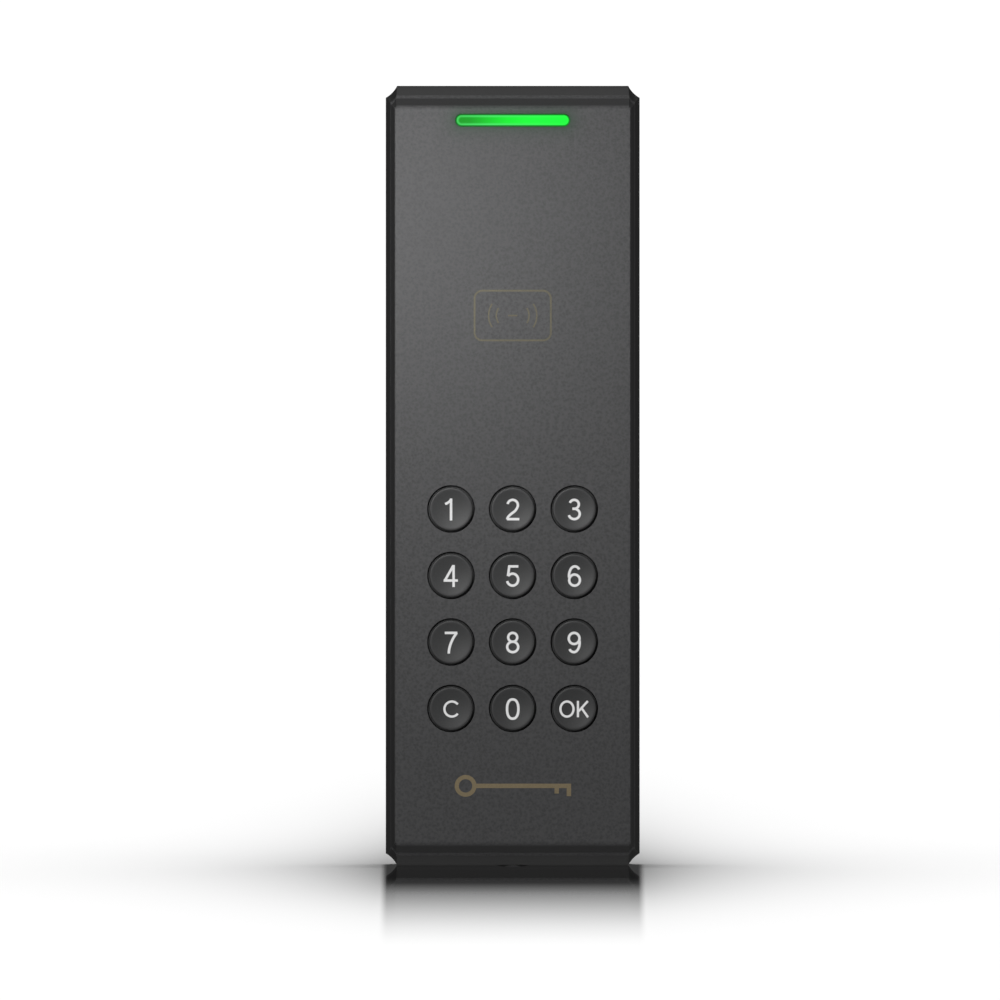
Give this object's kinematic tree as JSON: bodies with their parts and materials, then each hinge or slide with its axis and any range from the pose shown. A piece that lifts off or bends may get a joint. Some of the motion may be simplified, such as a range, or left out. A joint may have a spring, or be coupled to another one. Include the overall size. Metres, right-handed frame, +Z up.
{
  "type": "keypad access reader",
  "caption": "Slim upright wall reader with a green light bar, a card area, a dished round-key keypad and a hooked wall plate.",
  "frame": {"origin": "centre of the wall plate's back face, which lies on the wall", "axes": "+Z up along the reader's length, +Y back towards the wall, -Y out of the keypad, +X to the right as the keypad is read"},
  "size_m": [0.05, 0.0242, 0.1536],
  "materials": {
    "cover_coating": "fine sand-textured dark grey coating",
    "housing_plastic": "satin moulded near-black",
    "plated_steel": "zinc plated sheet",
    "light_lens": "green lit diffusing lens",
    "key_plastic": "satin dark grey cap with a light legend",
    "seal_rubber": "matt silicone",
    "circuit_board": "green solder mask",
    "copper_wire": "enamelled copper",
    "led_package": "moulded lamp body",
    "chip_body": "moulded epoxy",
    "terminal_plastic": "moulded green",
    "buzzer_case": "moulded black",
    "capacitor_can": "bare can",
    "plunger_plastic": "moulded natural white",
    "screw_steel": "zinc plated"
  },
  "bodies": {
    "reader": {"front_cover": "cover_coating", "rear_housing": "housing_plastic", "wall_plate": "plated_steel", "light_guide": "light_lens", "keypad_mat": "seal_rubber", "main_board": "circuit_board", "antenna_coil": "copper_wire", "status_led_1": "led_package", "status_led_2": "led_package", "status_led_3": "led_package", "microcontroller": "chip_body", "card_reader_chip": "chip_body", "voltage_regulator": "chip_body", "terminal_block": "terminal_plastic", "buzzer": "buzzer_case", "power_capacitor": "capacitor_can", "tamper_switch": "buzzer_case", "cover_gasket": "seal_rubber", "cable_grommet": "seal_rubber", "cover_screw_1": "screw_steel", "cover_screw_2": "screw_steel", "cover_screw_3": "screw_steel", "cover_screw_4": "screw_steel", "board_screw_1": "screw_steel", "board_screw_2": "screw_steel", "security_screw": "screw_steel"},
    "key_1": {"key_1": "key_plastic", "key_dome_1": "seal_rubber"},
    "key_2": {"key_2": "key_plastic", "key_dome_2": "seal_rubber"},
    "key_3": {"key_3": "key_plastic", "key_dome_3": "seal_rubber"},
    "key_4": {"key_4": "key_plastic", "key_dome_4": "seal_rubber"},
    "key_5": {"key_5": "key_plastic", "key_dome_5": "seal_rubber"},
    "key_6": {"key_6": "key_plastic", "key_dome_6": "seal_rubber"},
    "key_7": {"key_7": "key_plastic", "key_dome_7": "seal_rubber"},
    "key_8": {"key_8": "key_plastic", "key_dome_8": "seal_rubber"},
    "key_9": {"key_9": "key_plastic", "key_dome_9": "seal_rubber"},
    "key_c": {"key_c": "key_plastic", "key_dome_c": "seal_rubber"},
    "key_0": {"key_0": "key_plastic", "key_dome_0": "seal_rubber"},
    "key_ok": {"key_ok": "key_plastic", "key_dome_ok": "seal_rubber"},
    "tamper_plunger": {"tamper_plunger": "plunger_plastic"}
  },
  "joints": [
    {"name": "key_1_press", "type": "slide", "parent": "reader", "child": "key_1", "axis": [0, 1, 0], "range_m": [0, 0.0008], "stiffness_N_per_m": 1500, "springref_m": -0.0002},
    {"name": "key_2_press", "type": "slide", "parent": "reader", "child": "key_2", "axis": [0, 1, 0], "range_m": [0, 0.0008], "stiffness_N_per_m": 1500, "springref_m": -0.0002},
    {"name": "key_3_press", "type": "slide", "parent": "reader", "child": "key_3", "axis": [0, 1, 0], "range_m": [0, 0.0008], "stiffness_N_per_m": 1500, "springref_m": -0.0002},
    {"name": "key_4_press", "type": "slide", "parent": "reader", "child": "key_4", "axis": [0, 1, 0], "range_m": [0, 0.0008], "stiffness_N_per_m": 1500, "springref_m": -0.0002},
    {"name": "key_5_press", "type": "slide", "parent": "reader", "child": "key_5", "axis": [0, 1, 0], "range_m": [0, 0.0008], "stiffness_N_per_m": 1500, "springref_m": -0.0002},
    {"name": "key_6_press", "type": "slide", "parent": "reader", "child": "key_6", "axis": [0, 1, 0], "range_m": [0, 0.0008], "stiffness_N_per_m": 1500, "springref_m": -0.0002},
    {"name": "key_7_press", "type": "slide", "parent": "reader", "child": "key_7", "axis": [0, 1, 0], "range_m": [0, 0.0008], "stiffness_N_per_m": 1500, "springref_m": -0.0002},
    {"name": "key_8_press", "type": "slide", "parent": "reader", "child": "key_8", "axis": [0, 1, 0], "range_m": [0, 0.0008], "stiffness_N_per_m": 1500, "springref_m": -0.0002},
    {"name": "key_9_press", "type": "slide", "parent": "reader", "child": "key_9", "axis": [0, 1, 0], "range_m": [0, 0.0008], "stiffness_N_per_m": 1500, "springref_m": -0.0002},
    {"name": "key_c_press", "type": "slide", "parent": "reader", "child": "key_c", "axis": [0, 1, 0], "range_m": [0, 0.0008], "stiffness_N_per_m": 1500, "springref_m": -0.0002},
    {"name": "key_0_press", "type": "slide", "parent": "reader", "child": "key_0", "axis": [0, 1, 0], "range_m": [0, 0.0008], "stiffness_N_per_m": 1500, "springref_m": -0.0002},
    {"name": "key_ok_press", "type": "slide", "parent": "reader", "child": "key_ok", "axis": [0, 1, 0], "range_m": [0, 0.0008], "stiffness_N_per_m": 1500, "springref_m": -0.0002},
    {"name": "tamper_plunger_slide", "type": "slide", "parent": "reader", "child": "tamper_plunger", "axis": [0, -1, 0], "range_m": [0, 0.001], "stiffness_N_per_m": 400, "springref_m": -0.0005}
  ]
}
